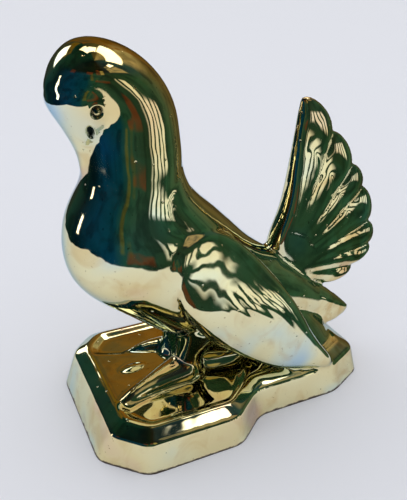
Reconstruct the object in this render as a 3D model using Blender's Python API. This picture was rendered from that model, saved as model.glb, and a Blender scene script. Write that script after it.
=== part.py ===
"""Glazed pottery dove with a raised fan tail, standing on its own low base.

The whole piece is cast as one. Metres, +Z up. The bird faces -Y, its left
side is +X, and the origin is under the middle of the piece, on the surface
that it stands on.
"""

import math

import bmesh
import bpy
import numpy as np
from mathutils import Matrix, Vector

# Driving sizes of the base.
BASE_HEIGHT = 0.025
BASE_LENGTH = 0.196
FRONT_WIDTH = 0.131
REAR_WIDTH = 0.095
FRONT_LENGTH = 0.085
WAIST_RUN = 0.022
FRONT_CORNER = 0.024
REAR_CORNER = 0.015
WALL_HEIGHT = 0.0195
SIDE_FLARE = 0.003
FRONT_FLARE = 0.009
REAR_FLARE = 0.004
SHOULDER_RUN = 0.009
DISH_SLOPE = 0.005
DISH_DEPTH = 0.0028
DISH_ROUND = 0.006
DISH_MARGIN = 0.001
CORNER_ROUND = 0.006

# Driving size of the bird, from the top of the base to its crown.
BIRD_HEIGHT = 0.205

# The bird's forms are drawn at this height in millimetres, and every form
# below is a share of it.
DRAWN_HEIGHT = 205.0
DRAWN = BIRD_HEIGHT / DRAWN_HEIGHT

# The breast's place: how far the drawing's zero lies behind the base's front.
BIRD_SETBACK = 0.0185

# How full the upper corners of the body's ovals are: 2 is a plain ellipse.
BODY_FULLNESS = 2.2

# The skull's tilt, in degrees, down towards the nape.

# The eyes: half their spread, their place along and up, and their radius.
EYE_SPREAD = 23.4
EYE_PLACE = (1.6, 175.4)
EYE_RADIUS = 4.2

# The wings: the shoulder's place along and up, and the slope of their length.
WING_SHOULDER = (45.0, 103.0)
WING_SLOPE = (95.0, -110.0)
WING_TUCK = 0.1

# The fan's front and rear edges, in degrees above the level at its root.
FAN_FRONT = 83.5
FAN_REAR = -27.0
RIDGE_PLACE = 0.66
ROOT_SWEEP = 40.0

# Mesh fineness.
VOXEL = 0.0016
SOFTENING = 6
MOST_TRIANGLES = 9600


def smooth_run(stations, count, lead):
    """Reads a natural cubic spline through the stations at even steps.

    The first `lead` numbers of a station are its place, and the rest follow.
    """
    rows = np.array(stations, float)
    gaps = np.linalg.norm(np.diff(rows[:, :lead], axis=0), axis=1)
    knots = np.concatenate([[0.0], np.cumsum(gaps)])
    last = len(rows) - 1
    system = np.eye(last + 1)
    load = np.zeros_like(rows)
    for i in range(1, last):
        before, after = gaps[i - 1], gaps[i]
        system[i, i - 1 : i + 2] = before, 2 * (before + after), after
        rise = (rows[i + 1] - rows[i]) / after - (rows[i] - rows[i - 1]) / before
        load[i] = 6 * rise
    bend = np.linalg.solve(system, load)
    at = np.linspace(0, knots[-1], count)
    span = np.clip(np.searchsorted(knots, at, side="right") - 1, 0, last - 1)
    width = gaps[span][:, None]
    near = (knots[span + 1] - at)[:, None] / width
    far = 1 - near
    cubic = (near**3 - near) * bend[span] + (far**3 - far) * bend[span + 1]
    return near * rows[span] + far * rows[span + 1] + cubic * width**2 / 6


def bird_point(x, y, z):
    """A place on the drawing of the bird, in millimetres above the base."""
    return Vector((x * DRAWN, y * DRAWN, BASE_HEIGHT + z * DRAWN))


def oval(centre, side, rise, sides, fullness=2.0, sag=0.0):
    """Points of an oval ring round a centre, with its two half axes.

    Above 2, fullness pushes out the corners on the side away from `rise`,
    and sag lowers the outermost point by a share of `rise`.
    """
    ring = []
    for i in range(sides):
        along, up = math.cos(2 * math.pi * i / sides), math.sin(2 * math.pi * i / sides)
        if up < 0:
            along = math.copysign(abs(along) ** (2 / fullness), along)
            up = -(abs(up) ** (2 / fullness))
        up -= sag * max(along, 0.0) ** 2
        ring.append(centre + side * along + rise * up)
    return ring


def sheathe(shape, rings):
    """Closes a solid round a row of rings that have as many points each."""
    loops = []
    for ring in rings:
        verts = [shape.verts.new(point) for point in ring]
        loops.append(
            [shape.edges.new((verts[i - 1], verts[i])) for i in range(len(verts))]
        )
    for near, far in zip(loops, loops[1:]):
        bmesh.ops.bridge_loops(shape, edges=near + far)
    for end in (loops[0], loops[-1]):
        bmesh.ops.contextual_create(shape, geom=end)


def spine(shape, stations, count, fullness=2.0):
    """A mass of ovals square to a spine: y, z, half depth, half width."""
    run = smooth_run(stations, count, 2)
    along = np.gradient(run[:, :2], axis=0)
    rings = []
    for (y, z, depth, width), (step_y, step_z) in zip(run, along):
        rise = Vector((0, -step_z, step_y)).normalized() * depth * DRAWN
        side = Vector((width * DRAWN, 0, 0))
        rings.append(oval(bird_point(0, y, z), side, rise, 40, fullness))
    sheathe(shape, rings)


def body_and_head(shape):
    """Rump, body, breast, neck and the head that bows forward."""
    spine(
        shape,
        (
            (170, 14, 5, 4),
            (153.5, 21.1, 13, 10),
            (134.7, 30.6, 19.4, 16),
            (112.5, 40.6, 26, 21.9),
            (87.4, 49.8, 31, 28.8),
            (59, 62, 38.5, 36.2),
            (37.2, 76.4, 36, 39.5),
            (26.3, 92.8, 42.9, 40),
            (21.9, 109.4, 37.4, 37),
            (23.3, 124.3, 29, 32.5),
            (25.3, 140.5, 27.5, 30.6),
            (25.1, 156.2, 27, 29.4),
            (24.7, 167.1, 25.6, 28.6),
            (20.9, 176.9, 23.5, 28.3),
            (13.4, 183.4, 22.7, 27.8),
            (4.1, 185.4, 22.6, 26.3),
            (-4.2, 185.3, 19.2, 22.5),
            (-11.2, 185.2, 13.2, 16.5),
            (-15.6, 185.8, 7, 9),
            (-17.2, 186.2, 2.5, 3.5),
        ),
        64,
        BODY_FULLNESS,
    )
    # The saddle that fills the bend between the nape and the rump.
    spine(
        shape,
        (
            (38.5, 163, 9, 13),
            (40.5, 150, 12, 18),
            (37.8, 134.5, 17.9, 26),
            (39, 118.3, 21, 31),
            (48.7, 102.8, 22.2, 35),
            (60.3, 91.3, 22.6, 35),
            (72.7, 79.3, 22.4, 33),
            (87.7, 69.5, 19.6, 28),
            (103.3, 63.5, 14.6, 20),
            (117, 59.9, 9.6, 13),
            (129, 57, 5, 8),
        ),
        40,
    )
    # The skull: middle's y and z, half length, half height, half width.


def face(shape):
    """The wedge of the face, bowed until the beak's tip meets the breast."""
    upright(
        shape,
        (
            (191, 3.5, 14, 21.5),
            (184, 3.1, 19.9, 26),
            (174, 3.6, 20.2, 24.8),
            (165, 1.7, 13.3, 19.6),
            (158, -0.4, 7.6, 14),
            (151, -1, 4, 9),
            (145, -1.2, 2.4, 6.4),
            (138, -1.4, 1.8, 3),
        ),
        40,
    )
    for hand in (1, -1):
        centre = bird_point(hand * EYE_SPREAD, *EYE_PLACE)
        bmesh.ops.create_icosphere(
            shape,
            subdivisions=3,
            radius=EYE_RADIUS * DRAWN,
            matrix=Matrix.Translation(centre),
        )


def along_wing(shape, stations, hand, tuck=0.0):
    """A mass of ovals square to the wings' slope.

    A station holds the distance from the shoulder, the middle's x, its
    offset from the wing's centre line, half thickness, half height and how
    far the outer side sags. The ovals' upper edge is tucked in.
    """
    lean = math.atan2(WING_SLOPE[1], WING_SLOPE[0])
    forward = Vector((0, math.cos(lean), math.sin(lean)))
    across = Vector((0, -math.sin(lean), math.cos(lean)))
    rings = []
    for reach, x, offset, thick, high, sag in smooth_run(stations, 40, 1):
        middle = bird_point(hand * x, *WING_SHOULDER)
        middle += (forward * reach + across * offset) * DRAWN
        side = Vector((hand * thick * DRAWN, 0, 0))
        rise = (across - Vector((hand * tuck, 0, 0))) * high * DRAWN
        rings.append(oval(middle, side, rise, 36, sag=sag))
    sheathe(shape, rings)


def wings(shape):
    """The drooped wings, and the mass that fills the room between their ends."""
    for hand in (1, -1):
        along_wing(
            shape,
            (
                (-6.6, 33, -6.6, 3, 2, 0.4),
                (0, 34, -4.8, 6, 9.6, 0.5),
                (10, 32.4, -3.4, 8.5, 17.8, 0.65),
                (22, 32.6, -4.1, 10, 23.3, 0.7),
                (40, 34, -6.1, 11.7, 27.4, 0.35),
                (64, 35.9, -6.5, 12.1, 27.6, -0.2),
                (90, 37.2, -5.2, 11.1, 22.7, -0.45),
                (115, 38.5, -3.5, 9.3, 15.7, -0.45),
                (135, 39, 2, 7.4, 8.5, -0.3),
                (144, 39.5, 4.6, 5.4, 4.6, -0.1),
                (148, 40, 5.4, 2.5, 2, 0),
            ),
            hand,
            WING_TUCK,
        )
    along_wing(
        shape,
        (
            (40, 0, -2, 30, 18, 0),
            (64, 0, -3, 34, 20, 0),
            (90, 0, -2, 36, 17, 0),
            (115, 0, 0, 37, 12, 0),
            (135, 0, 3, 37, 7, 0),
            (146, 0, 5, 36, 3, 0),
        ),
        1,
    )


def feather_at(turn):
    """Outer radius and roundness of the fan at an angle in degrees.

    Roundness runs from 0 in the groove between two feathers to 1 on the
    middle of a feather.
    """
    # Each boundary between feathers: its angle, and the fan's radius there.
    bounds = (
        (-27, 40),
        (-9, 65),
        (3, 78.8),
        (16.5, 79),
        (36.5, 82.5),
        (49.6, 86.3),
        (67.4, 97.8),
        (FAN_FRONT, 113),
    )
    swell = (8, 6, 4.4, 4.9, 4.6, 4.6, 7)
    angles = [angle for angle, _ in bounds]
    i = min(max(int(np.searchsorted(angles, turn, side="right")) - 1, 0), 6)
    (low, near), (high, far) = bounds[i], bounds[i + 1]
    share = (turn - low) / (high - low)
    lobe = math.sqrt(max(0.0, 1 - (2 * share - 1) ** 2))
    # The ridge lies nearer to the feather's upper edge.
    past = (share - RIDGE_PLACE) / (1 - RIDGE_PLACE) if share > RIDGE_PLACE else 1 - share / RIDGE_PLACE
    ridge = math.sqrt(max(0.0, 1 - past**2))
    return near + (far - near) * share + swell[i] * lobe, ridge


def fan_tail(shape):
    """The upright fan of feathers, spread along the middle plane."""
    root = (122.0, 53.0)
    steps = 132
    sides = 40
    rings = []
    for i in range(steps + 1):
        turn = FAN_REAR + (FAN_FRONT - FAN_REAR) * i / steps
        reach, ridge = feather_at(turn)
        relief = 4.0 - 2.8 * math.sin(math.radians(turn))
        sweep = ROOT_SWEEP * ((turn - FAN_REAR) / (FAN_FRONT - FAN_REAR)) ** 4
        edge_gap = min(FAN_FRONT - turn, turn - FAN_REAR)
        ring = []
        for k in range(sides):
            angle = 2 * math.pi * k / sides
            radius = reach * (0.5 + 0.5 * math.cos(angle))
            inset = min(1.0, math.radians(edge_gap) * radius / 5.0)
            rounding = math.sqrt(max(0.0, 1 - (1 - inset) ** 2))
            rib = relief * (max(0.0, radius / reach - 0.35) / 0.65)
            knob = math.exp(-(((radius / reach - 0.92) / 0.07) ** 2))
            half = 10.5 - 6.5 * radius / reach - rib * (1 - ridge) + 1.8 * knob * ridge
            half *= abs(math.sin(angle)) ** 0.4 * rounding
            swung = math.radians(turn + sweep * math.exp(-((radius / 25) ** 2)))
            y, z = root[0] + radius * math.cos(swung), root[1] + radius * math.sin(swung)
            ring.append(bird_point(math.copysign(half, math.sin(angle)), y, z))
        rings.append(ring)
    sheathe(shape, rings)


def tail_prong(shape):
    """The keeled feathers under the fan: a ridged roof over a narrow keel."""
    # Station's y, roof's z, ridge's half width and z, lower edge's, keel's z.
    stations = (
        (110, 72, 15, 58, 14, 36, 26),
        (126, 60, 12.5, 47.8, 11.5, 32, 18),
        (140, 49.5, 11, 38.5, 9.5, 22, 11),
        (152, 40.5, 9.6, 30.5, 8, 12, 5),
        (162, 33, 8.4, 24, 6.8, 4, -0.5),
        (172, 24.8, 6.6, 17.8, 5.2, 1, -1.5),
        (181, 16.8, 4.6, 12, 3.4, 2.5, 0.5),
        (187, 10.8, 2.8, 8.8, 2, 5, 4),
        (189.5, 8, 1, 7.6, 0.8, 6.6, 6.2),
    )
    rings = []
    for y, roof, wide, ridge, low_wide, low, keel in smooth_run(stations, 36, 1):
        half = (
            (0.0, roof),
            (wide * 0.55, roof - (roof - ridge) * 0.35),
            (wide, ridge),
            (wide * 0.55 + low_wide * 0.45, ridge + (low - ridge) * 0.45),
            (low_wide, low),
            (low_wide * 0.5, keel + (low - keel) * 0.4),
            (0.0, keel),
        )
        outline = half + tuple((-x, z) for x, z in half[-2:0:-1])
        rings.append([bird_point(x, y, z) for x, z in outline])
    sheathe(shape, rings)


def upright(shape, stations, sides, x=0.0):
    """A mass of level ovals: z, middle's y, half length, half width."""
    rings = [
        oval(
            bird_point(x, y, z),
            Vector((width * DRAWN, 0, 0)),
            Vector((0, length * DRAWN, 0)),
            sides,
        )
        for z, y, length, width in smooth_run(stations, len(stations) * 4, 1)
    ]
    sheathe(shape, rings)


def underbody(shape):
    """The mass under the wings, and the skirt that props the tail."""
    upright(
        shape,
        (
            (-8, 98, 58, 24),
            (-2, 98, 54, 19),
            (3, 97, 51, 16),
            (10, 95, 49, 16),
            (22, 92, 49, 21),
            (36, 88, 48, 30),
        ),
        48,
    )
    upright(
        shape,
        (
            (-8, 135, 38, 38),
            (-1, 136, 31, 31),
            (5, 135, 28, 27),
            (12, 132, 25, 22),
            (22, 127, 21, 18),
            (34, 120, 18, 16),
        ),
        36,
    )


def rod(shape, stations, sides):
    """A tapered rod along the base: x, y, z, half width, half height."""
    run = smooth_run(stations, len(stations) * 5, 3)
    along = np.gradient(run[:, :3], axis=0)
    rings = []
    for (x, y, z, wide, high), step in zip(run, along):
        side = Vector((step[1], -step[0], 0)).normalized() * wide * DRAWN
        rings.append(oval(bird_point(x, y, z), side, Vector((0, 0, high * DRAWN)), sides))
    sheathe(shape, rings)


def feet(shape):
    """Two short legs, a long near toe, a short far toe and a swell between."""
    for hand in (1, -1):
        upright(
            shape,
            (
                (-8, 52, 15, 15),
                (-1, 52, 11, 11),
                (5, 53, 9, 9),
                (14, 55, 9.5, 10),
                (24, 59, 13, 15),
                (36, 63, 18, 20),
            ),
            28,
            hand * 12.0,
        )
    rod(
        shape,
        (
            (12, 50, 3, 12, 8),
            (15, 36, 1, 9, 7.5),
            (19, 22, -0.5, 6, 6.5),
            (23.5, 10, -1.5, 4, 5),
            (27, 1, -3, 2, 3),
        ),
        24,
    )
    rod(
        shape,
        (
            (-16, 62, 1, 9, 7),
            (-20, 48, -0.5, 7, 6.5),
            (-22.5, 35, -1.5, 5, 5.5),
            (-24, 21, -3.5, 2, 2.5),
        ),
        24,
    )
    rod(
        shape,
        ((-5, 35, -4.5, 2, 2), (-4.5, 26, -3.5, 5, 4.5), (-3.5, 14, -3.5, 5, 4.5), (-3, 4, -4.5, 2, 2)),
        24,
    )


def base_corners():
    """Corners of the base's foot, all the way round, and each side's flare."""
    wide, narrow = FRONT_WIDTH / 2, REAR_WIDTH / 2
    front = -BIRD_SETBACK
    back = front + BASE_LENGTH
    half = (
        (wide - FRONT_CORNER, front, SIDE_FLARE),
        (wide, front + FRONT_CORNER, SIDE_FLARE),
        (wide, front + FRONT_LENGTH, SIDE_FLARE),
        (narrow, front + FRONT_LENGTH + WAIST_RUN, SIDE_FLARE),
        (narrow, back - 2 * REAR_CORNER, REAR_FLARE),
        (narrow - REAR_CORNER, back, REAR_FLARE),
    )
    corners = [(x, y) for x, y, _ in half] + [(-x, y) for x, y, _ in reversed(half)]
    flares = [flare for _, _, flare in half]
    flares += [flare for _, _, flare in reversed(half[:-1])] + [FRONT_FLARE]
    return corners, flares


def inset_corners(corners, amounts):
    """Moves each side of an outline inwards by its own amount."""
    count = len(corners)
    lines = []
    for i in range(count):
        start, end = Vector(corners[i]), Vector(corners[(i + 1) % count])
        run = (end - start).normalized()
        inward = Vector((-run.y, run.x))
        lines.append((start + inward * amounts[i], run))
    moved = []
    for i in range(count):
        (point, run), (other, across) = lines[i - 1], lines[i]
        gap = other - point
        share = (gap.x * across.y - gap.y * across.x) / (
            run.x * across.y - run.y * across.x
        )
        moved.append(point + run * share)
    return moved


def rounded(corners, radius, height):
    """The outline at a height, with an arc of points at every corner."""
    ring = []
    count = len(corners)
    for i, corner in enumerate(corners):
        before = (corners[i - 1] - corner).normalized() * radius
        after = (corners[(i + 1) % count] - corner).normalized() * radius
        for k in range(5):
            share = k / 4
            point = corner + before * (1 - share) ** 2 + after * share**2
            ring.append((point.x, point.y, height))
    return ring


def base_block(shape):
    """The low stepped base: flared wall, sloping shoulder and flat top."""
    corners, flares = base_corners()
    levels = (
        (-WALL_HEIGHT / 6, 0.0, 0.0),
        (0.0, 0.0, 0.0),
        (WALL_HEIGHT, 1.0, 0.0),
        (BASE_HEIGHT, 1.0, SHOULDER_RUN),
    )
    rings = []
    for height, flared, inset in levels:
        amounts = [flare * flared + inset for flare in flares]
        outline = inset_corners(corners, amounts)
        rings.append(rounded(outline, CORNER_ROUND, height))
    sheathe(shape, rings)


def dish(shape, hand):
    """The hollow that is sunk into the base's top beside one foot."""
    wide = FRONT_WIDTH / 2 - SIDE_FLARE - SHOULDER_RUN - DISH_MARGIN
    waist = REAR_WIDTH / 2 - SIDE_FLARE - SHOULDER_RUN - DISH_MARGIN
    front = FRONT_FLARE + SHOULDER_RUN - BIRD_SETBACK + DISH_MARGIN
    rear = FRONT_LENGTH - BIRD_SETBACK
    reach = rear - front
    outline = (
        (wide * 0.57, front - reach * 0.02),
        (wide * 0.77, front + reach * 0.02),
        (wide, front + reach * 0.18),
        (wide, rear),
        (wide * 0.4 + waist * 0.6, rear + WAIST_RUN * 0.6),
        (wide * 0.38, rear + WAIST_RUN * 1.1),
        (wide * 0.23, rear + WAIST_RUN * 0.95),
        (wide * 0.23, front + reach * 0.75),
        (wide * 0.36, front + reach * 0.37),
    )
    corners = [Vector((x * hand, y)) for x, y in outline[::hand]]
    rings = []
    for height, inset in (
        (BASE_HEIGHT + DISH_DEPTH, -DISH_SLOPE),
        (BASE_HEIGHT, 0.0),
        (BASE_HEIGHT - DISH_DEPTH, DISH_SLOPE),
    ):
        ring = inset_corners(corners, [inset] * len(corners))
        rings.append(rounded(ring, DISH_ROUND / 2, height))
    sheathe(shape, rings)


def block(name, shape):
    """Puts closed shells into the scene as one object."""
    bmesh.ops.recalc_face_normals(shape, faces=shape.faces)
    mesh = bpy.data.meshes.new(name)
    shape.to_mesh(mesh)
    shape.free()
    thing = bpy.data.objects.new(name, mesh)
    bpy.context.scene.collection.objects.link(thing)
    return thing


def base(shape):
    """The base with its two dishes sunk."""
    solid, hollows = bmesh.new(), bmesh.new()
    base_block(solid)
    dish(hollows, 1)
    dish(hollows, -1)
    stand = block("stand", solid)
    cutter = block("hollows", hollows)
    sink = stand.modifiers.new("sink", "BOOLEAN")
    sink.operation = "DIFFERENCE"
    sink.solver = "EXACT"
    sink.object = cutter
    graph = bpy.context.evaluated_depsgraph_get()
    shape.from_mesh(stand.evaluated_get(graph).to_mesh())
    bpy.data.objects.remove(stand)
    bpy.data.objects.remove(cutter)


def rough_form():
    """Every form as its own closed shell, overlapping where they join."""
    shape = bmesh.new()
    base(shape)
    body_and_head(shape)
    face(shape)
    underbody(shape)
    fan_tail(shape)
    tail_prong(shape)
    feet(shape)
    wings(shape)
    bmesh.ops.recalc_face_normals(shape, faces=shape.faces)
    return shape


def cast(shape, name):
    """Fuses the shells into one skin, softened as thick glaze leaves it."""
    mesh = bpy.data.meshes.new(name)
    shape.to_mesh(mesh)
    shape.free()
    piece = bpy.data.objects.new(name, mesh)
    bpy.context.scene.collection.objects.link(piece)
    fuse = piece.modifiers.new("fuse", "REMESH")
    fuse.mode = "VOXEL"
    fuse.voxel_size = VOXEL
    soften = piece.modifiers.new("soften", "SMOOTH")
    soften.factor = 0.5
    soften.iterations = SOFTENING
    graph = bpy.context.evaluated_depsgraph_get()
    fused = len(piece.evaluated_get(graph).to_mesh().polygons) * 2
    thin = piece.modifiers.new("thin", "DECIMATE")
    thin.ratio = min(1.0, MOST_TRIANGLES / fused)
    graph = bpy.context.evaluated_depsgraph_get()
    cast_mesh = bpy.data.meshes.new_from_object(piece.evaluated_get(graph))
    piece.modifiers.clear()
    piece.data = cast_mesh
    return piece


def cut_foot_flat(piece):
    """Cuts the underside to one flat face at z = 0 and centres the piece."""
    shape = bmesh.new()
    shape.from_mesh(piece.data)
    bmesh.ops.bisect_plane(
        shape,
        geom=shape.verts[:] + shape.edges[:] + shape.faces[:],
        plane_co=(0, 0, 0),
        plane_no=(0, 0, -1),
        clear_outer=True,
    )
    rim = [edge for edge in shape.edges if edge.is_boundary]
    bmesh.ops.contextual_create(shape, geom=rim)
    bmesh.ops.recalc_face_normals(shape, faces=shape.faces)
    places = [vert.co for vert in shape.verts]
    for axis in (0, 1):
        middle = (min(p[axis] for p in places) + max(p[axis] for p in places)) / 2
        for vert in shape.verts:
            vert.co[axis] -= middle
    shape.to_mesh(piece.data)
    shape.free()


def lustre_glaze():
    """Pale gold mirror lustre over the fired glaze."""
    glaze = bpy.data.materials.new("lustre_glaze")
    glaze.use_nodes = True
    shader = glaze.node_tree.nodes["Principled BSDF"]
    shader.inputs["Base Color"].default_value = (0.76, 0.68, 0.42, 1)
    shader.inputs["Metallic"].default_value = 1.0
    shader.inputs["Roughness"].default_value = 0.06
    glaze.diffuse_color = (0.76, 0.68, 0.42, 1)
    return glaze


def clear_scene():
    for thing in list(bpy.data.objects):
        bpy.data.objects.remove(thing)


def main():
    clear_scene()
    dove = cast(rough_form(), "dove")
    cut_foot_flat(dove)
    dove.data.materials.clear()
    dove.data.materials.append(lustre_glaze())
    dove.data.shade_smooth()


main()
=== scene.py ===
"""Lustre-glazed pottery dove, cast in one with its low base, on a pale studio table."""

import math

import bmesh
import bpy
import numpy as np
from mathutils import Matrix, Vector


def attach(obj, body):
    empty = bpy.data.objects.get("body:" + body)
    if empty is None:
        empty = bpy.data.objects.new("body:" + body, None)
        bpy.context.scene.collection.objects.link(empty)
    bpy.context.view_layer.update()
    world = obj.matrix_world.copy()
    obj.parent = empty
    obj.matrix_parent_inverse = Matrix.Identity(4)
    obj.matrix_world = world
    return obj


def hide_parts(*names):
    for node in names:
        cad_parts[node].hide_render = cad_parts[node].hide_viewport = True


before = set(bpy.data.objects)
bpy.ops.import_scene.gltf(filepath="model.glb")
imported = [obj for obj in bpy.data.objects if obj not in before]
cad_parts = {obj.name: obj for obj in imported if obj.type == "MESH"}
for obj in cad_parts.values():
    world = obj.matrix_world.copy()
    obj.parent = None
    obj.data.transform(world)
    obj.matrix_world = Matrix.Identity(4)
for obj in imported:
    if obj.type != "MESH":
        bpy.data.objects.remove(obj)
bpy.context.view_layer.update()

# Sizes of the base, in metres.
BASE_HEIGHT = 0.025
BASE_LENGTH = 0.196
FRONT_WIDTH = 0.131
REAR_WIDTH = 0.095
FRONT_LENGTH = 0.085
WAIST_RUN = 0.022
FRONT_CORNER = 0.024
REAR_CORNER = 0.015
WALL_HEIGHT = 0.0195
SIDE_FLARE = 0.003
FRONT_FLARE = 0.009
REAR_FLARE = 0.004
SHOULDER_RUN = 0.009
DISH_SLOPE = 0.005
DISH_DEPTH = 0.0028
DISH_ROUND = 0.006
DISH_MARGIN = 0.001
CORNER_ROUND = 0.006
SETBACK = 0.0185

# The bird is drawn in millimetres above the base's top.
MM = 0.001
BODY_FULLNESS = 2.2
WING_SHOULDER = (45.0, 103.0)
WING_SLOPE = (95.0, -110.0)
WING_TUCK = 0.1
FAN_ROOT = (122.0, 53.0)
FAN_FRONT = 83.5
FAN_REAR = -27.0
RIDGE_PLACE = 0.66
ROOT_SWEEP = 40.0
ROOT_SWEEP_REACH = 25
FAN_ROOT_HALF = 10.5
FAN_THINNING = 6.5
GROOVE_DEPTH = 4.0
GROOVE_FADE = 2.8
GROOVE_START = 0.35
KNOB_RISE = 1.8
KNOB_PLACE = 0.92
KNOB_WIDTH = 0.07
FAN_SIDE_ROUND = 5.0
FAN_EDGE_POWER = 0.4

# Carving, in the drawing's millimetres. A width is that of a soft swell.
EYE_PLACE = (24.5, 2.0, 175.5)
EYE_REACH = 8.5
EYE_RADIUS = 2.6
BALL_RADIUS = EYE_RADIUS * 0.8
BALL_RISE = 1.0
PUPIL_PLACE = (-0.8, 0.6)
PUPIL_WIDTH = 0.9
PUPIL_DEPTH = 0.5
RIM_WIDTH = 0.7
RIM_DEPTH = 0.9
LID_RADIUS = EYE_RADIUS * 1.5
LID_WIDTH = 0.9
LIP_RISE = 0.2
BROW_PLACE = (26.0, 3.5, 193.5)
BROW_REACH = 40
BROW_WIDTH = 6.5
BROW_STRETCH = 0.45
BROW_RISE = 2.2
SOCKET_DROP = 16.5
SOCKET_WIDTH = 8.0
SOCKET_STRETCH = 0.7
SOCKET_DEPTH = 1.1
NOSTRIL_PLACE = (19.5, -0.5, 164.5)
NOSTRIL_REACH = 7.0
NOSTRIL_EDGE = 7.5
NOSTRIL_SIZE = (1.8, 3.6)
NOSTRIL_SLANT = -20
NOSTRIL_DEPTH = 1.3
FLUTE_PITCH = 6.5
FLUTE_DEPTH = 0.35
FLUTE_LINE = 5.5
FLUTE_START = 34
FLUTE_END = 112
FLUTE_FLOOR = -12
FLUTE_SPAN = 130
FLUTE_SIDE = 30
FLUTE_LOW = 8
FLUTE_HIGH = 112
FLUTE_FACING = 0.25
FACING_RUN = 0.3
INNER_FROM = 26
INNER_TO = 80
INNER_ROOT = 30
INNER_SHARE = 0.66
INNER_SCALLOP = 0.09
INNER_STEP = 13.5
INNER_RISE = 0.4
INNER_SOFTNESS = 0.8
INNER_SIDE = 14
INNER_NEAR = 110
INNER_LOW = 60
INNER_FACING = 0.6

# Fineness of the cast skin.
VOXEL = 1.33 * MM
SOFTENING = 5

# The camera, in metres and radians. Its lens is 602 pixels long for a picture
# 500 pixels high, which the 36 mm frame spans.
CAMERA_PLACE = (0.3098, -0.1664, 0.2670)
CAMERA_TURN = (1.1222, 0.0, 1.1373)
LENS_PIXELS = 602
PICTURE_HEIGHT = 500
FRAME_HEIGHT = 36

# Degrees from one slat of the blind to the next.
SLAT_PITCH = 9.5


def smooth_run(stations, count, lead):
    """Reads a natural cubic spline through the stations at even steps.

    The first `lead` numbers of a station are its place, and the rest follow.
    """
    rows = np.array(stations, float)
    gaps = np.linalg.norm(np.diff(rows[:, :lead], axis=0), axis=1)
    knots = np.concatenate([[0.0], np.cumsum(gaps)])
    last = len(rows) - 1
    system = np.eye(last + 1)
    load = np.zeros_like(rows)
    for i in range(1, last):
        before, after = gaps[i - 1], gaps[i]
        system[i, i - 1 : i + 2] = before, 2 * (before + after), after
        load[i] = 6 * ((rows[i + 1] - rows[i]) / after - (rows[i] - rows[i - 1]) / before)
    bend = np.linalg.solve(system, load)
    at = np.linspace(0, knots[-1], count)
    span = np.clip(np.searchsorted(knots, at, side="right") - 1, 0, last - 1)
    width = gaps[span][:, None]
    near = (knots[span + 1] - at)[:, None] / width
    far = 1 - near
    cubic = (near**3 - near) * bend[span] + (far**3 - far) * bend[span + 1]
    return near * rows[span] + far * rows[span + 1] + cubic * width**2 / 6


def bell(value, width):
    """A smooth swell of 1 that fades out on both sides."""
    return math.exp(-((value / width) ** 2))


def bird_point(x, y, z):
    """A place on the drawing of the bird, in millimetres above the base."""
    return Vector((x * MM, y * MM, BASE_HEIGHT + z * MM))


def oval(centre, side, rise, sides, fullness=2.0, sag=0.0):
    """Points of an oval ring round a centre, with its two half axes."""
    ring = []
    for i in range(sides):
        along, up = math.cos(2 * math.pi * i / sides), math.sin(2 * math.pi * i / sides)
        if up < 0:
            along = math.copysign(abs(along) ** (2 / fullness), along)
            up = -(abs(up) ** (2 / fullness))
        up -= sag * max(along, 0.0) ** 2
        ring.append(centre + side * along + rise * up)
    return ring


def sheathe(shape, rings):
    """Closes a solid round a row of rings that have as many points each."""
    shell = bmesh.new()
    loops = []
    for ring in rings:
        circle = bmesh.ops.create_circle(shell, cap_ends=False, radius=1, segments=len(ring))
        for vert, point in zip(circle["verts"], ring):
            vert.co = point
        loops.append(list({edge for vert in circle["verts"] for edge in vert.link_edges}))
    for near, far in zip(loops, loops[1:]):
        bmesh.ops.bridge_loops(shell, edges=near + far)
    for end in (loops[0], loops[-1]):
        bmesh.ops.contextual_create(shell, geom=end)
    closed = bpy.data.meshes.new("shell")
    shell.to_mesh(closed)
    shell.free()
    shape.from_mesh(closed)
    bpy.data.meshes.remove(closed)


def spine(shape, stations, count, fullness=2.0):
    """A mass of ovals square to a spine: y, z, half depth, half width."""
    run = smooth_run(stations, count, 2)
    along = np.gradient(run[:, :2], axis=0)
    rings = []
    for (y, z, depth, width), (step_y, step_z) in zip(run, along):
        rise = Vector((0, -step_z, step_y)).normalized() * depth * MM
        side = Vector((width * MM, 0, 0))
        rings.append(oval(bird_point(0, y, z), side, rise, 64, fullness))
    sheathe(shape, rings)


def body_and_head(shape):
    """Rump, body, breast, neck and the head that bows forward."""
    spine(
        shape,
        (
            (170, 14, 5, 4),
            (153.5, 21.1, 13, 10),
            (134.7, 30.6, 19.4, 16),
            (112.5, 40.6, 26, 21.9),
            (87.4, 49.8, 31, 28.8),
            (59, 62, 38.5, 36.2),
            (37.2, 76.4, 36, 39.5),
            (26.3, 92.8, 42.9, 40),
            (21.9, 109.4, 37.4, 37),
            (23.3, 124.3, 29, 32.5),
            (25.3, 140.5, 27.5, 30.6),
            (25.1, 156.2, 27, 29.4),
            (24.7, 167.1, 25.6, 28.6),
            (20.9, 176.9, 23.5, 28.3),
            (13.4, 183.4, 22.7, 27.8),
            (4.1, 185.4, 22.6, 26.3),
            (-4.2, 185.3, 19.2, 22.5),
            (-11.2, 185.2, 13.2, 16.5),
            (-15.6, 185.8, 7, 9),
            (-17.2, 186.2, 2.5, 3.5),
        ),
        120,
        BODY_FULLNESS,
    )
    spine(
        shape,
        (
            (38.5, 163, 9, 13),
            (40.5, 150, 12, 18),
            (37.8, 134.5, 17.9, 26),
            (39, 118.3, 21, 31),
            (48.7, 102.8, 22.2, 35),
            (60.3, 91.3, 22.6, 35),
            (72.7, 79.3, 22.4, 33),
            (87.7, 69.5, 19.6, 28),
            (103.3, 63.5, 14.6, 20),
            (117, 59.9, 9.6, 13),
            (129, 57, 5, 8),
        ),
        80,
    )


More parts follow.
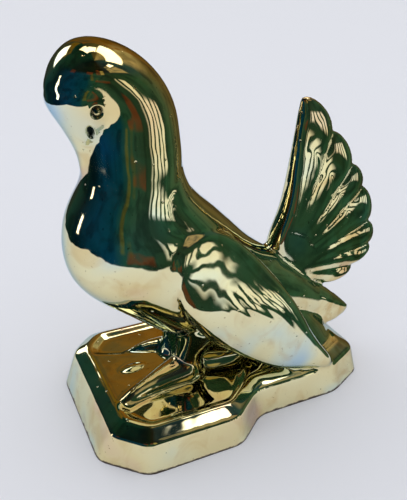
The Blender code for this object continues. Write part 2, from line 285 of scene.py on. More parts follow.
def upright(shape, stations, sides, x=0.0):
    """A mass of level ovals: z, middle's y, half length, half width."""
    rings = [
        oval(
            bird_point(x, y, z),
            Vector((width * MM, 0, 0)),
            Vector((0, length * MM, 0)),
            sides,
        )
        for z, y, length, width in smooth_run(stations, len(stations) * 6, 1)
    ]
    sheathe(shape, rings)


def face(shape):
    """The wedge of the face, bowed until the beak's tip meets the breast."""
    upright(
        shape,
        (
            (191, 3.5, 14, 21.5),
            (184, 3.1, 19.9, 26),
            (174, 3.6, 20.2, 24.8),
            (165, 1.7, 13.3, 19.6),
            (158, -0.4, 7.6, 14),
            (151, -1, 4, 9),
            (145, -1.2, 2.4, 6.4),
            (138, -1.4, 1.8, 3),
        ),
        64,
    )


def along_wing(shape, stations, hand, tuck=0.0):
    """A mass of ovals square to the wings' slope.

    A station holds the distance from the shoulder, the middle's x, its
    offset from the wing's centre line, half thickness, half height and how
    far the outer side sags. The ovals' upper edge is tucked in.
    """
    lean = math.atan2(WING_SLOPE[1], WING_SLOPE[0])
    forward = Vector((0, math.cos(lean), math.sin(lean)))
    across = Vector((0, -math.sin(lean), math.cos(lean)))
    rings = []
    for reach, x, offset, thick, high, sag in smooth_run(stations, 90, 1):
        middle = bird_point(hand * x, *WING_SHOULDER)
        middle += (forward * reach + across * offset) * MM
        side = Vector((hand * thick * MM, 0, 0))
        rise = (across - Vector((hand * tuck, 0, 0))) * high * MM
        rings.append(oval(middle, side, rise, 56, sag=sag))
    sheathe(shape, rings)


def wings(shape):
    """The drooped wings, and the mass that fills the room between their ends."""
    for hand in (1, -1):
        along_wing(
            shape,
            (
                (-6.6, 33, -6.6, 3, 2, 0.4),
                (0, 34, -4.8, 6, 9.6, 0.5),
                (10, 32.4, -3.4, 8.5, 17.8, 0.65),
                (22, 32.6, -4.1, 10, 23.3, 0.7),
                (40, 34, -6.1, 11.7, 27.4, 0.35),
                (64, 35.9, -6.5, 12.1, 27.6, -0.2),
                (90, 37.2, -5.2, 11.1, 22.7, -0.45),
                (115, 38.5, -3.5, 9.3, 15.7, -0.45),
                (135, 39, 2, 7.4, 8.5, -0.3),
                (144, 39.5, 4.6, 5.4, 4.6, -0.1),
                (148, 40, 5.4, 2.5, 2, 0),
            ),
            hand,
            WING_TUCK,
        )
    along_wing(
        shape,
        (
            (40, 0, -2, 30, 18, 0),
            (64, 0, -3, 34, 20, 0),
            (90, 0, -2, 36, 17, 0),
            (115, 0, 0, 37, 12, 0),
            (135, 0, 3, 37, 7, 0),
            (146, 0, 5, 36, 3, 0),
        ),
        1,
    )


def feather_at(turn):
    """Outer radius and roundness of the fan at an angle in degrees.

    Roundness runs from 0 in the groove between two feathers to 1 on the
    ridge of a feather.
    """
    grooves = (
        (-27, 40),
        (-9, 65),
        (3, 78.8),
        (16.5, 79),
        (36.5, 82.5),
        (49.6, 86.3),
        (67.4, 97.8),
        (FAN_FRONT, 113),
    )
    swell = (8, 6, 4.4, 4.9, 4.6, 4.6, 7)
    angles = [angle for angle, _ in grooves]
    i = min(max(int(np.searchsorted(angles, turn, side="right")) - 1, 0), 6)
    (low, near), (high, far) = grooves[i], grooves[i + 1]
    share = (turn - low) / (high - low)
    lobe = math.sqrt(max(0.0, 1 - (2 * share - 1) ** 2))
    # The ridge lies nearer to the feather's upper edge.
    if share > RIDGE_PLACE:
        past = (share - RIDGE_PLACE) / (1 - RIDGE_PLACE)
    else:
        past = 1 - share / RIDGE_PLACE
    ridge = math.sqrt(max(0.0, 1 - past**2))
    return near + (far - near) * share + swell[i] * lobe, ridge


def fan_tail(shape):
    """The upright fan of feathers, spread along the middle plane."""
    steps = 300
    sides = 96
    rings = []
    for i in range(steps + 1):
        turn = FAN_REAR + (FAN_FRONT - FAN_REAR) * i / steps
        reach, ridge = feather_at(turn)
        relief = GROOVE_DEPTH - GROOVE_FADE * math.sin(math.radians(turn))
        sweep = ROOT_SWEEP * ((turn - FAN_REAR) / (FAN_FRONT - FAN_REAR)) ** 4
        edge_gap = min(FAN_FRONT - turn, turn - FAN_REAR)
        ring = []
        for k in range(sides):
            angle = 2 * math.pi * k / sides
            radius = reach * (0.5 + 0.5 * math.cos(angle))
            inset = min(1.0, math.radians(edge_gap) * radius / FAN_SIDE_ROUND)
            rounding = math.sqrt(max(0.0, 1 - (1 - inset) ** 2))
            outer = max(0.0, radius / reach - GROOVE_START) / (1 - GROOVE_START)
            groove = relief * outer * (1 - ridge)
            knob = KNOB_RISE * bell(radius / reach - KNOB_PLACE, KNOB_WIDTH) * ridge
            half = FAN_ROOT_HALF - FAN_THINNING * radius / reach - groove + knob
            half *= abs(math.sin(angle)) ** FAN_EDGE_POWER * rounding
            swung = math.radians(turn + sweep * bell(radius, ROOT_SWEEP_REACH))
            y = FAN_ROOT[0] + radius * math.cos(swung)
            z = FAN_ROOT[1] + radius * math.sin(swung)
            ring.append(bird_point(math.copysign(half, math.sin(angle)), y, z))
        rings.append(ring)
    sheathe(shape, rings)


def tail_prong(shape):
    """The keeled feathers under the fan: a ridged roof over a narrow keel."""
    stations = (
        (110, 72, 15, 58, 14, 36, 26),
        (126, 60, 12.5, 47.8, 11.5, 32, 18),
        (140, 49.5, 11, 38.5, 9.5, 22, 11),
        (152, 40.5, 9.6, 30.5, 8, 12, 5),
        (162, 33, 8.4, 24, 6.8, 4, -0.5),
        (172, 24.8, 6.6, 17.8, 5.2, 1, -1.5),
        (181, 16.8, 4.6, 12, 3.4, 2.5, 0.5),
        (187, 10.8, 2.8, 8.8, 2, 5, 4),
        (189.5, 8, 1, 7.6, 0.8, 6.6, 6.2),
    )
    rings = []
    for y, roof, wide, ridge, low_wide, low, keel in smooth_run(stations, 80, 1):
        half = (
            (0.0, roof),
            (wide * 0.55, roof - (roof - ridge) * 0.35),
            (wide, ridge),
            (wide * 0.55 + low_wide * 0.45, ridge + (low - ridge) * 0.45),
            (low_wide, low),
            (low_wide * 0.5, keel + (low - keel) * 0.4),
            (0.0, keel),
        )
        outline = half + tuple((-x, z) for x, z in half[-2:0:-1])
        rings.append([bird_point(x, y, z) for x, z in outline])
    sheathe(shape, rings)


def underbody(shape):
    """The mass under the wings, and the skirt that props the tail."""
    upright(
        shape,
        (
            (-8, 98, 58, 24),
            (-2, 98, 54, 19),
            (3, 97, 51, 16),
            (10, 95, 49, 16),
            (22, 92, 49, 21),
            (36, 88, 48, 30),
        ),
        72,
    )
    upright(
        shape,
        (
            (-8, 135, 38, 38),
            (-1, 136, 31, 31),
            (5, 135, 28, 27),
            (12, 132, 25, 22),
            (22, 127, 21, 18),
            (34, 120, 18, 16),
        ),
        60,
    )


def rod(shape, stations, sides):
    """A tapered rod along the base: x, y, z, half width, half height."""
    run = smooth_run(stations, len(stations) * 8, 3)
    along = np.gradient(run[:, :3], axis=0)
    rings = []
    for (x, y, z, wide, high), step in zip(run, along):
        side = Vector((step[1], -step[0], 0)).normalized() * wide * MM
        rings.append(oval(bird_point(x, y, z), side, Vector((0, 0, high * MM)), sides))
    sheathe(shape, rings)


def feet(shape):
    """Two short legs, a long near toe, a short far toe and a swell between."""
    for hand in (1, -1):
        upright(
            shape,
            (
                (-8, 52, 15, 15),
                (-1, 52, 11, 11),
                (5, 53, 9, 9),
                (14, 55, 9.5, 10),
                (24, 59, 13, 15),
                (36, 63, 18, 20),
            ),
            40,
            hand * 12.0,
        )
    rod(
        shape,
        (
            (12, 50, 3, 12, 8),
            (15, 36, 1, 9, 7.5),
            (19, 22, -0.5, 6, 6.5),
            (23.5, 10, -1.5, 4, 5),
            (27, 1, -3, 2, 3),
        ),
        32,
    )
    rod(
        shape,
        (
            (-16, 62, 1, 9, 7),
            (-20, 48, -0.5, 7, 6.5),
            (-22.5, 35, -1.5, 5, 5.5),
            (-24, 21, -3.5, 2, 2.5),
        ),
        32,
    )
    rod(
        shape,
        (
            (-5, 35, -4.5, 2, 2),
            (-4.5, 26, -3.5, 5, 4.5),
            (-3.5, 14, -3.5, 5, 4.5),
            (-3, 4, -4.5, 2, 2),
        ),
        32,
    )


def base_corners():
    """Corners of the base's foot, all the way round, and each side's flare."""
    wide, narrow = FRONT_WIDTH / 2, REAR_WIDTH / 2
    front = -SETBACK
    back = front + BASE_LENGTH
    half = (
        (wide - FRONT_CORNER, front, SIDE_FLARE),
        (wide, front + FRONT_CORNER, SIDE_FLARE),
        (wide, front + FRONT_LENGTH, SIDE_FLARE),
        (narrow, front + FRONT_LENGTH + WAIST_RUN, SIDE_FLARE),
        (narrow, back - 2 * REAR_CORNER, REAR_FLARE),
        (narrow - REAR_CORNER, back, REAR_FLARE),
    )
    corners = [(x, y) for x, y, _ in half] + [(-x, y) for x, y, _ in reversed(half)]
    flares = [flare for _, _, flare in half]
    flares += [flare for _, _, flare in reversed(half[:-1])] + [FRONT_FLARE]
    return corners, flares


def inset_corners(corners, amounts):
    """Moves each side of an outline inwards by its own amount."""
    count = len(corners)
    lines = []
    for i in range(count):
        start, end = Vector(corners[i]), Vector(corners[(i + 1) % count])
        run = (end - start).normalized()
        lines.append((start + Vector((-run.y, run.x)) * amounts[i], run))
    moved = []
    for i in range(count):
        (point, run), (other, across) = lines[i - 1], lines[i]
        gap = other - point
        share = (gap.x * across.y - gap.y * across.x) / (run.x * across.y - run.y * across.x)
        moved.append(point + run * share)
    return moved


def rounded(corners, radius, height):
    """The outline at a height, with an arc of points at every corner."""
    ring = []
    count = len(corners)
    for i, corner in enumerate(corners):
        before = (corners[i - 1] - corner).normalized() * radius
        after = (corners[(i + 1) % count] - corner).normalized() * radius
        for k in range(9):
            share = k / 8
            point = corner + before * (1 - share) ** 2 + after * share**2
            ring.append((point.x, point.y, height))
    return ring


def base_block(shape):
    """The low stepped base: flared wall, sloping shoulder and flat top."""
    corners, flares = base_corners()
    levels = (
        (-WALL_HEIGHT / 6, 0.0, 0.0),
        (0.0, 0.0, 0.0),
        (WALL_HEIGHT, 1.0, 0.0),
        (BASE_HEIGHT, 1.0, SHOULDER_RUN),
    )
    rings = []
    for height, flared, inset in levels:
        outline = inset_corners(corners, [flare * flared + inset for flare in flares])
        rings.append(rounded(outline, CORNER_ROUND, height))
    sheathe(shape, rings)


def dish(shape, hand):
    """The dish that is sunk into the base's top beside one foot."""
    wide = FRONT_WIDTH / 2 - SIDE_FLARE - SHOULDER_RUN - DISH_MARGIN
    waist = REAR_WIDTH / 2 - SIDE_FLARE - SHOULDER_RUN - DISH_MARGIN
    front = FRONT_FLARE + SHOULDER_RUN - SETBACK + DISH_MARGIN
    rear = FRONT_LENGTH - SETBACK
    reach = rear - front
    outline = (
        (wide * 0.57, front - reach * 0.02),
        (wide * 0.77, front + reach * 0.02),
        (wide, front + reach * 0.18),
        (wide, rear),
        (wide * 0.4 + waist * 0.6, rear + WAIST_RUN * 0.6),
        (wide * 0.38, rear + WAIST_RUN * 1.1),
        (wide * 0.23, rear + WAIST_RUN * 0.95),
        (wide * 0.23, front + reach * 0.75),
        (wide * 0.36, front + reach * 0.37),
    )
    corners = [Vector((x * hand, y)) for x, y in outline[::hand]]
    rings = []
    for height, inset in (
        (BASE_HEIGHT + DISH_DEPTH, -DISH_SLOPE),
        (BASE_HEIGHT, 0.0),
        (BASE_HEIGHT - DISH_DEPTH, DISH_SLOPE),
    ):
        ring = inset_corners(corners, [inset] * len(corners))
        rings.append(rounded(ring, DISH_ROUND / 2, height))
    sheathe(shape, rings)


def block(name, shape):
    """Puts closed shells into the scene as one object."""
    bmesh.ops.recalc_face_normals(shape, faces=shape.faces)
    mesh = bpy.data.meshes.new(name)
    shape.to_mesh(mesh)
    shape.free()
    thing = bpy.data.objects.new(name, mesh)
    bpy.context.scene.collection.objects.link(thing)
    return thing


def base(shape):
    """The base with its two dishes sunk."""
    solid, hollows = bmesh.new(), bmesh.new()
    base_block(solid)
    dish(hollows, 1)
    dish(hollows, -1)
    stand = block("stand", solid)
    cutter = block("hollows", hollows)
    sink = stand.modifiers.new("sink", "BOOLEAN")
    sink.operation = "DIFFERENCE"
    sink.solver = "EXACT"
    sink.object = cutter
    graph = bpy.context.evaluated_depsgraph_get()
    shape.from_mesh(stand.evaluated_get(graph).to_mesh())
    bpy.data.objects.remove(stand)
    bpy.data.objects.remove(cutter)


def rough_form():
    """Every form as its own closed shell, overlapping where they join."""
    shape = bmesh.new()
    base(shape)
    body_and_head(shape)
    face(shape)
    underbody(shape)
    fan_tail(shape)
    tail_prong(shape)
    feet(shape)
    wings(shape)
    bmesh.ops.recalc_face_normals(shape, faces=shape.faces)
    return shape


def cast(shape, name):
    """Fuses the shells into one skin, softened as thick glaze leaves it."""
    mesh = bpy.data.meshes.new(name)
    shape.to_mesh(mesh)
    shape.free()
    piece = bpy.data.objects.new(name, mesh)
    bpy.context.scene.collection.objects.link(piece)
    fuse = piece.modifiers.new("fuse", "REMESH")
    fuse.mode = "VOXEL"
    fuse.voxel_size = VOXEL
    soften = piece.modifiers.new("soften", "SMOOTH")
    soften.factor = 0.5
    soften.iterations = SOFTENING
    graph = bpy.context.evaluated_depsgraph_get()
    skin = bpy.data.meshes.new_from_object(piece.evaluated_get(graph))
    piece.modifiers.clear()
    piece.data = skin
    return piece


def cut_foot_flat(piece):
    """Cuts the underside to one flat face at z = 0 and centres the piece."""
    shape = bmesh.new()
    shape.from_mesh(piece.data)
    bmesh.ops.bisect_plane(
        shape,
        geom=shape.verts[:] + shape.edges[:] + shape.faces[:],
        plane_co=(0, 0, 0),
        plane_no=(0, 0, -1),
        clear_outer=True,
    )
    rim = [edge for edge in shape.edges if edge.is_boundary]
    bmesh.ops.contextual_create(shape, geom=rim)
    bmesh.ops.recalc_face_normals(shape, faces=shape.faces)
    places = [vert.co for vert in shape.verts]
    for axis in (0, 1):
        middle = (min(p[axis] for p in places) + max(p[axis] for p in places)) / 2
        for vert in shape.verts:
            vert.co[axis] -= middle
    shape.to_mesh(piece.data)
    shape.free()


def refine(piece, centre, reach):
    """Splits the skin finely round a place, so that it can hold small carving."""
    shape = bmesh.new()
    shape.from_mesh(piece.data)
    near = [
        edge
        for edge in shape.edges
        if all((vert.co - centre).length < reach for vert in edge.verts)
    ]
    bmesh.ops.subdivide_edges(shape, edges=near, cuts=2, use_grid_fill=True)
    inner = [vert for vert in shape.verts if (vert.co - centre).length < reach]
    axes = {"use_axis_x": True, "use_axis_y": True, "use_axis_z": True}
    for _ in range(3):
        bmesh.ops.smooth_vert(shape, verts=inner, factor=0.5, **axes)
    shape.to_mesh(piece.data)
    shape.free()


def eye_relief(offset):
    """A ball in a groove, with a pupil's dimple: its rise and how much painted shade it
    takes.
    """
    gap = math.hypot(offset.y, offset.z)
    ball = BALL_RISE * max(0.0, 1 - (gap / BALL_RADIUS) ** 2)
    rim = bell(gap - EYE_RADIUS, RIM_WIDTH)
    pupil_gap = math.hypot(offset.y - PUPIL_PLACE[0], offset.z - PUPIL_PLACE[1])
    pupil = bell(pupil_gap, PUPIL_WIDTH)
    lid = LIP_RISE * bell(gap - LID_RADIUS, LID_WIDTH)
    # The groove round the ball and the pupil's dimple take painted shade.
    return ball - PUPIL_DEPTH * pupil - RIM_DEPTH * rim + lid, min(1.0, rim + pupil)


def brow_relief(offset):
    """A long low swell over the shallow socket that the eye sits in."""
    swell = bell(math.hypot(offset.y * BROW_STRETCH, offset.z), BROW_WIDTH)
    under = math.hypot(offset.y * SOCKET_STRETCH, offset.z + SOCKET_DROP)
    return BROW_RISE * swell - SOCKET_DEPTH * bell(under, SOCKET_WIDTH)


def nostril_relief(offset):
    """A slanted oval pit with a low lip: its rise and how much painted shade it takes."""
    slant = math.radians(NOSTRIL_SLANT)
    across = offset.y * math.cos(slant) - offset.z * math.sin(slant)
    along = offset.y * math.sin(slant) + offset.z * math.cos(slant)
    gap = math.hypot(across / NOSTRIL_SIZE[0], along / NOSTRIL_SIZE[1])
    pit = min(1.0, max(0.0, (1.15 - gap) / 0.4))
    # The pit takes painted shade.
    return LIP_RISE * bell(gap - 1.5, 0.25) - NOSTRIL_DEPTH * pit, pit


def flute_relief(y, z):
    """Long feathers that spread from the wing's shoulder, each over the next."""
    lean = math.atan2(WING_SLOPE[1], WING_SLOPE[0])
    gap_y, gap_z = y - WING_SHOULDER[0], z - WING_SHOULDER[1]
    along = gap_y * math.cos(lean) + gap_z * math.sin(lean)
    across = gap_z * math.cos(lean) - gap_y * math.sin(lean) + FLUTE_LINE
    if not FLUTE_START < along < FLUTE_END or across < FLUTE_FLOOR:
        return 0.0
    # The feathers are widest a third of the way along, and waver a little.
    spread = 0.62 + 0.5 * math.sin(math.pi * (along / FLUTE_SPAN) ** 0.8)
    step = across / (FLUTE_PITCH * spread) + 0.12 * math.sin(along / 7.0)
    crest = abs(math.sin(math.pi * step)) ** 0.7
    ends = min(1.0, (along - FLUTE_START) / 24, (FLUTE_END - along) / 30)
    low = min(1.0, (across - FLUTE_FLOOR) / 8)
    return FLUTE_DEPTH * crest * ends * low


def inner_feather_relief(y, z):
    """A second, shorter row of feather tips, raised on the fan."""
    gap_y, gap_z = y - FAN_ROOT[0], z - FAN_ROOT[1]
    radius = math.hypot(gap_y, gap_z)
    turn = math.degrees(math.atan2(gap_z, gap_y))
    if not INNER_FROM < turn < INNER_TO or radius < INNER_ROOT:
        return 0.0
    reach, _ = feather_at(turn)
    scallop = abs(math.sin(math.pi * (turn - INNER_FROM) / INNER_STEP))
    edge = reach * (INNER_SHARE + INNER_SCALLOP * scallop)
    fade = min(1.0, (turn - INNER_FROM) / 6, (INNER_TO - turn) / 5)
    return INNER_RISE * fade / (1 + math.exp((radius - edge) / INNER_SOFTNESS))


def face_relief(place, centres):
    """The carving of the head at a place: its rise and how much painted shade it takes."""
    rise = 0.0
    painted_shade = 0.0
    eye, nostril, brow = [(place - centre) / MM for centre in centres]
    if eye.length < EYE_REACH:
        raised, shade_shown = eye_relief(eye)
        rise += raised
        painted_shade = max(painted_shade, shade_shown)
    if nostril.length < NOSTRIL_EDGE:
        raised, shade_shown = nostril_relief(nostril)
        rise += raised
        painted_shade = max(painted_shade, shade_shown)
    if brow.length < BROW_REACH:
        rise += brow_relief(brow)
    return rise, painted_shade


def feather_relief(place, outward):
    """The carving of the wings and the fan, where the skin faces sideways."""
    x, y, z = abs(place.x) / MM, place.y / MM, (place.z - BASE_HEIGHT) / MM
    rise = 0.0
    if x > FLUTE_SIDE and FLUTE_LOW < z < FLUTE_HIGH and outward > FLUTE_FACING:
        rise += flute_relief(y, z) * min(1.0, (outward - FLUTE_FACING) / FACING_RUN)
    if x < INNER_SIDE and y > INNER_NEAR and z > INNER_LOW and outward > INNER_FACING:
        rise += inner_feather_relief(y, z)
    return rise


def carve(piece):
    """Moves the skin in and out for the face and the feathers, and keeps the painted shade
    of the eyes' and nostrils' grooves.
    """
    places = []
    for hand in (1, -1):
        eye, nostril, brow = [
            bird_point(hand * x, y, z) for x, y, z in (EYE_PLACE, NOSTRIL_PLACE, BROW_PLACE)
        ]
        refine(piece, eye, EYE_REACH * MM)
        refine(piece, nostril, NOSTRIL_REACH * MM)
        places.append((eye, nostril, brow))
    shape = bmesh.new()
    shape.from_mesh(piece.data)
    shape.normal_update()
    moves = []
    for vert in shape.verts:
        rise, painted_shade = face_relief(vert.co, places[0 if vert.co.x > 0 else 1])
        rise += feather_relief(vert.co, abs(vert.normal.x))
        moves.append((vert.normal * rise * MM, painted_shade))
    # Painted shade, kept at each point: the grooves of the eyes and nostrils are painted
    # near black.
    painted_groove_shade = shape.verts.layers.float.new("painted_groove_shade")
    for vert, (move, painted_shade) in zip(shape.verts, moves):
        vert.co += move
        vert[painted_groove_shade] = painted_shade
    shape.to_mesh(piece.data)
    shape.free()


def plain(code):
    """A linear colour from a hex sRGB one."""
    steps = [int(code[i : i + 2], 16) / 255 for i in (0, 2, 4)]
    linear = [s / 12.92 if s <= 0.04045 else ((s + 0.055) / 1.055) ** 2.4 for s in steps]
    return (*linear, 1.0)


def add(tree, kind, inputs, output=0, stops=(), **settings):
    """Adds a node with its settings, and gives back one of its outputs.

    Its inputs come in order, or by name or number. Each is another node's
    output, a number, a direction or a hex colour. A colour ramp also has
    stops, each a place and a hex colour.
    """
    node = tree.nodes.new("ShaderNode" + kind)
    for name, value in settings.items():
        setattr(node, name, value)
    given = inputs if isinstance(inputs, dict) else dict(enumerate(inputs))
    for slot, source in given.items():
        if isinstance(source, bpy.types.NodeSocket):
            tree.links.new(source, node.inputs[slot])
        else:
            value = plain(source) if isinstance(source, str) else source
            node.inputs[slot].default_value = value
    for i, (place, code) in enumerate(stops):
        elements = node.color_ramp.elements
        element = elements[i] if i < 2 else elements.new(place)
        element.position = place
        element.color = plain(code)
    return node.outputs[output]


def above(tree, value, edge, soft):
    """1 where a value is past an edge and 0 before it, with a soft step between."""
    gap = add(tree, "Math", (value, edge), operation="SUBTRACT")
    step = (gap, 1 / soft, 0.5)
    return add(tree, "Math", step, operation="MULTIPLY_ADD", use_clamp=True)


def lustre_glaze():
    """Slip-cast pottery under a fired lustre, a thin film of pale gold metal.

    To the eye it is a mirror whose tint drifts as the film's thickness does.
    """
    glaze = bpy.data.materials.new("lustre_glaze")
    glaze.use_nodes = True
    tree = glaze.node_tree
    shader = tree.nodes["Principled BSDF"]
    place = add(tree, "TexCoord", (), "Object")
    sides = add(tree, "SeparateXYZ", (place,)).node.outputs
    forward = add(tree, "Math", (sides["Y"], -1.0), operation="MULTIPLY")
    downward = add(tree, "Math", (sides["Z"], -1.0), operation="MULTIPLY")
    clouds = {}
    # Noise, by the size in millimetres of its features, its detail and its swirl.
    for name, size, detail, swirl in (
        ("film", 38, 1.0, 0.0),
        ("smears", 19, 3.0, 1.0),
        ("specks", 2.2, 3.0, 0.0),
        ("foot", 5, 3.0, 0.0),
        ("haze", 14, 2.0, 0.0),
        ("ripple", 15, 1.0, 0.0),
    ):
        scale = 1 / (size * MM)
        noise = {"Vector": place, "Scale": scale, "Detail": detail, "Distortion": swirl}
        clouds[name] = add(tree, "TexNoise", noise, "Fac")

    # The film's thickness drifts in patches of some centimetres, and its tint
    # with it: pale blue at the very front, then pale gold, rose behind.
    front = above(tree, forward, 100 * MM, 20 * MM)
    back = above(tree, sides["Y"], 70 * MM, 60 * MM)
    high = above(tree, sides["Z"], 190 * MM, 20 * MM)
    not_front = add(tree, "Math", (1.0, front), operation="SUBTRACT")
    head = add(tree, "Math", (high, not_front), operation="MULTIPLY")
    film = clouds["film"]
    for part, thicker in ((front, -0.07), (back, 0.08), (head, 0.12)):
        film = add(tree, "Math", (part, thicker, film), operation="MULTIPLY_ADD")
    tint = add(
        tree,
        "ValToRGB",
        (film,),
        stops=(
            (0.22, "c4dce6"),
            (0.33, "e2ead4"),
            (0.43, "f2ecc0"),
            (0.62, "f0e2ae"),
            (0.75, "eccfb0"),
        ),
    )
    # It ran thickest on the cheeks, and is a full gold there.
    gold = add(tree, "Math", (head, 0.5), operation="MULTIPLY")
    # Amber smears where the film pooled, most of them behind.
    pooled = add(tree, "Math", (back, 0.1, clouds["smears"]), operation="MULTIPLY_ADD")
    cover = add(tree, "Math", (back, 0.35, 0.3), operation="MULTIPLY_ADD")
    smears = add(tree, "Math", (above(tree, pooled, 0.6, 0.2), cover), operation="MULTIPLY")
    # Brown specks of burnt glaze, drawn a little coarse so that they show.
    spots = above(tree, clouds["specks"], 0.72, 0.06)
    specks = add(tree, "Math", (spots, 0.75), operation="MULTIPLY")
    # A ragged band up to about 3 mm along the bottom of the foot is dark brown, matt and not
    # metal.
    ragged = (clouds["foot"], 3.0 * MM, downward)
    ragged = add(tree, "Math", ragged, operation="MULTIPLY_ADD")
    foot = above(tree, ragged, 0.2 * MM, 0.8 * MM)
    # Painted shade: the grooves of the eyes and the nostrils are painted near black.
    painted_groove_shade = add(tree, "Attribute", (), "Fac", attribute_name="painted_groove_shade")
    for share, colour in (
        (gold, "f2d288"),
        (smears, "c89a50"),
        (specks, "6e4a22"),
        (foot, "3a2a1a"),
        (painted_groove_shade, "101814"),
    ):
        tint = add(tree, "Mix", {0: share, 6: tint, 7: colour}, 2, data_type="RGBA")
    tree.links.new(tint, shader.inputs["Base Color"])
    shader.inputs["Specular Tint"].default_value = plain("bcd2e6")
    metal = add(tree, "Math", (1.0, foot), operation="SUBTRACT")
    tree.links.new(metal, shader.inputs["Metallic"])
    # A mirror, hazed in clouds, and dull in that band along the foot.
    haze = above(tree, clouds["haze"], 0.5, 0.5)
    dull = add(tree, "Math", (foot, 0.4, 0.02), operation="MULTIPLY_ADD")
    dull = add(tree, "Math", (haze, 0.05, dull), operation="MULTIPLY_ADD")
    tree.links.new(dull, shader.inputs["Roughness"])
    # A slow ripple of the thick glaze, and small craters of burst bubbles
    # spaced about 9 mm apart.
    bubbles = add(tree, "TexVoronoi", {"Vector": place, "Scale": 1 / (9 * MM)}, "Distance")
    unbroken = above(tree, bubbles, 0.06, 0.06)
    crater = add(tree, "Math", (1.0, unbroken), operation="SUBTRACT")
    ripple = add(tree, "Math", (clouds["ripple"], 0.3 * MM), operation="MULTIPLY")
    relief = add(tree, "Math", (crater, -0.25 * MM, ripple), operation="MULTIPLY_ADD")
    bump = add(tree, "Bump", {"Height": relief, "Strength": 1.0, "Distance": 1.0}, "Normal")
    tree.links.new(bump, shader.inputs["Normal"])
    return glaze


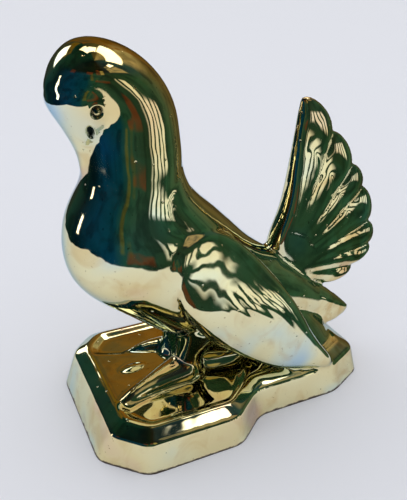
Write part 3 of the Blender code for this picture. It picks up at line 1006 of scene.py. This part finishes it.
def studio(world):
    """A pale backdrop for the eye, and a dim room with soft lights for the gloss."""
    world.use_nodes = True
    tree = world.node_tree
    way = add(tree, "TexCoord", (), "Generated")
    sides = add(tree, "SeparateXYZ", (way,)).node.outputs
    turn = add(tree, "Math", (sides["Y"], sides["X"]), operation="ARCTAN2")
    share = add(tree, "Math", (turn, -0.5 / math.pi, 0.5), operation="MULTIPLY_ADD")
    rise = add(tree, "Math", (sides["Z"],), operation="ARCSINE")

    def field(low_turn, high_turn, low_rise, high_rise, soft=2.0):
        """1 between two bearings and two heights in degrees, with soft edges."""
        edge = math.radians(soft)
        inside = above(tree, turn, math.radians(low_turn), edge)
        past = above(tree, turn, math.radians(high_turn), edge)
        under = above(tree, rise, math.radians(low_rise), edge)
        over = above(tree, rise, math.radians(high_rise), edge)
        for limit in (
            add(tree, "Math", (1.0, past), operation="SUBTRACT"),
            under,
            add(tree, "Math", (1.0, over), operation="SUBTRACT"),
        ):
            inside = add(tree, "Math", (inside, limit), operation="MULTIPLY")
        return inside

    # Colours of the walls and the ceiling by bearing, clockwise from -X: brown
    # behind the bird's right, green behind it and on its left, blue before it.
    walls = add(
        tree,
        "ValToRGB",
        (share,),
        stops=(
            (0.0, "4a4630"),
            (0.08, "8a6430"),
            (0.17, "6c6440"),
            (0.26, "44604c"),
            (0.33, "2c5444"),
            (0.43, "243c30"),
            (0.52, "284840"),
            (0.58, "204840"),
            (0.63, "063850"),
            (0.74, "053458"),
            (0.85, "061c24"),
            (0.92, "1c3c38"),
            (1.0, "4a4630"),
        ),
    )
    ceiling = add(
        tree,
        "ValToRGB",
        (share,),
        stops=(
            (0.0, "2c3c2c"),
            (0.08, "5c5430"),
            (0.12, "c0b484"),
            (0.2, "b0a47c"),
            (0.26, "2c4c50"),
            (0.35, "2c4450"),
            (0.5, "1c1c10"),
            (0.58, "101c14"),
            (0.75, "06181a"),
            (0.92, "143830"),
        ),
    )
    overhead = above(tree, rise, math.radians(30), math.radians(12))
    room = add(tree, "Mix", {0: overhead, 6: walls, 7: ceiling}, 2, data_type="RGBA")
    mottle = add(tree, "TexNoise", {"Vector": way, "Scale": 3.5, "Detail": 6.0}, "Fac")
    patchy = above(tree, mottle, 0.42, 0.25)
    # Patches on the walls: colour, cover, two bearings and two heights.
    for colour, cover, *edges in (
        ("7c6018", 1.0, -180, -150, 27, 42),
        ("8c5c14", 0.9, 136, 178, 10, 46),
        ("c8bc94", 0.9, 24, 60, 32, 64),
        ("5c6034", 0.9, -34, -27, -12, 28),
        ("50582c", 0.8, -22, -15, -14, 2),
        ("6a3c24", 0.8, -24, 10, -19, -10),
        ("6c3420", 0.9, -48, -28, 24, 38),
        ("5c3020", 0.8, -98, -84, 24, 36),
        ("7c4428", 0.9, -17, -7, 22, 50),
        ("c8b878", 0.8, -5, 6, 22, 46),
    ):
        patch = add(tree, "Math", (patchy, cover), operation="MULTIPLY")
        patch = add(tree, "Math", (field(*edges, 3.0), patch), operation="MULTIPLY")
        room = add(tree, "Mix", {0: patch, 6: room, 7: colour}, 2, data_type="RGBA")
    shade = above(tree, mottle, 0.55, 0.15)
    shade = add(tree, "Math", (shade, 0.5), operation="MULTIPLY")
    room = add(tree, "Mix", {0: shade, 6: room, 7: "02080a"}, 2, data_type="RGBA")

    # Soft lights overhead, two low ones on the bird's right and before it, and
    # a slatted blind on its left.
    glow = 0.0
    for edges in (
        (82, 152, 51, 72),
        (44, 64, 58, 67),
        (155, 180, 60, 72),
        (-180, -160, 56, 72),
        (-170, -155, 12, 30, 1.5),
        (-116, -111, -2, 14, 1.0),
    ):
        glow = add(tree, "Math", (glow, field(*edges)), operation="ADD")
    waves = 2 * math.pi / math.radians(SLAT_PITCH)
    slats = add(tree, "Math", (turn, waves), operation="MULTIPLY")
    slats = add(tree, "Math", (slats,), operation="SINE")
    slats = add(tree, "Math", (slats, 2.0, 1.2), operation="MULTIPLY_ADD", use_clamp=True)
    blind = add(tree, "Math", (field(23, 63, -14, 6, 4.0), slats), operation="MULTIPLY")
    blind = add(tree, "Math", (blind, 0.9), operation="MULTIPLY")
    power = add(tree, "Math", (glow, 2.5, blind), operation="MULTIPLY_ADD")

    dim = add(tree, "Emission", {"Color": room, "Strength": 1.0})
    lamps = add(tree, "Emission", {"Color": "ffffff", "Strength": power})
    gloss = add(tree, "AddShader", (dim, lamps))
    backdrop = tree.nodes["Background"]
    backdrop.inputs["Color"].default_value = plain("eceef2")
    backdrop.inputs["Strength"].default_value = 1.15
    mirrored = add(tree, "LightPath", (), "Is Glossy Ray")
    seen = add(tree, "MixShader", (mirrored, backdrop.outputs[0], gloss))
    tree.links.new(seen, tree.nodes["World Output"].inputs["Surface"])


def table_top():
    """A matt white stand that mirrors in the glaze only as far as its edges."""
    white = bpy.data.materials.new("white_table")
    white.use_nodes = True
    tree = white.node_tree
    shader = tree.nodes["Principled BSDF"]
    shader.inputs["Base Color"].default_value = plain("e6e6ea")
    shader.inputs["Roughness"].default_value = 0.9
    place = add(tree, "TexCoord", (), "Object")
    beyond = 0.0
    # Each edge by its bearing in degrees and its distance in metres.
    for bearing, reach in ((-24, 0.345), (0, 0.3), (72, 0.148), (-116, 0.61)):
        turn = math.radians(bearing)
        outward = (math.cos(turn), math.sin(turn), 0.0)
        along = add(tree, "VectorMath", (place, outward), "Value", operation="DOT_PRODUCT")
        past = add(tree, "Math", (along, reach), operation="SUBTRACT")
        past = add(tree, "Math", (past, 60.0), operation="MULTIPLY", use_clamp=True)
        beyond = add(tree, "Math", (beyond, past), operation="MAXIMUM")
    mirrored = add(tree, "LightPath", (), "Is Glossy Ray")
    unseen = add(tree, "Math", (beyond, mirrored), operation="MULTIPLY")
    clear = add(tree, "BsdfTransparent", ())
    surface = add(tree, "MixShader", (unseen, shader.outputs[0], clear))
    tree.links.new(surface, tree.nodes["Material Output"].inputs["Surface"])
    return white


def camera_at(place, turn, lens):
    """The camera that the scene is seen through."""
    camera = bpy.data.cameras.new("camera")
    camera.lens = lens
    camera.clip_start = 0.01
    viewpoint = bpy.data.objects.new("camera", camera)
    viewpoint.location = place
    viewpoint.rotation_euler = turn
    bpy.context.scene.collection.objects.link(viewpoint)
    bpy.context.scene.camera = viewpoint


dove = cast(rough_form(), "dove_cast")
carve(dove)
cut_foot_flat(dove)
dove.data.materials.clear()
dove.data.materials.append(lustre_glaze())
dove.data.shade_smooth()
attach(dove, "root")
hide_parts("dove")

floor_shape = bmesh.new()
bmesh.ops.create_grid(floor_shape, x_segments=1, y_segments=1, size=6)
floor = block("table", floor_shape)
floor.data.materials.append(table_top())

camera_at(CAMERA_PLACE, CAMERA_TURN, LENS_PIXELS / PICTURE_HEIGHT * FRAME_HEIGHT)

bpy.context.scene.world = bpy.data.worlds.new("studio")
studio(bpy.context.scene.world)
bpy.context.scene.view_settings.view_transform = "Standard"
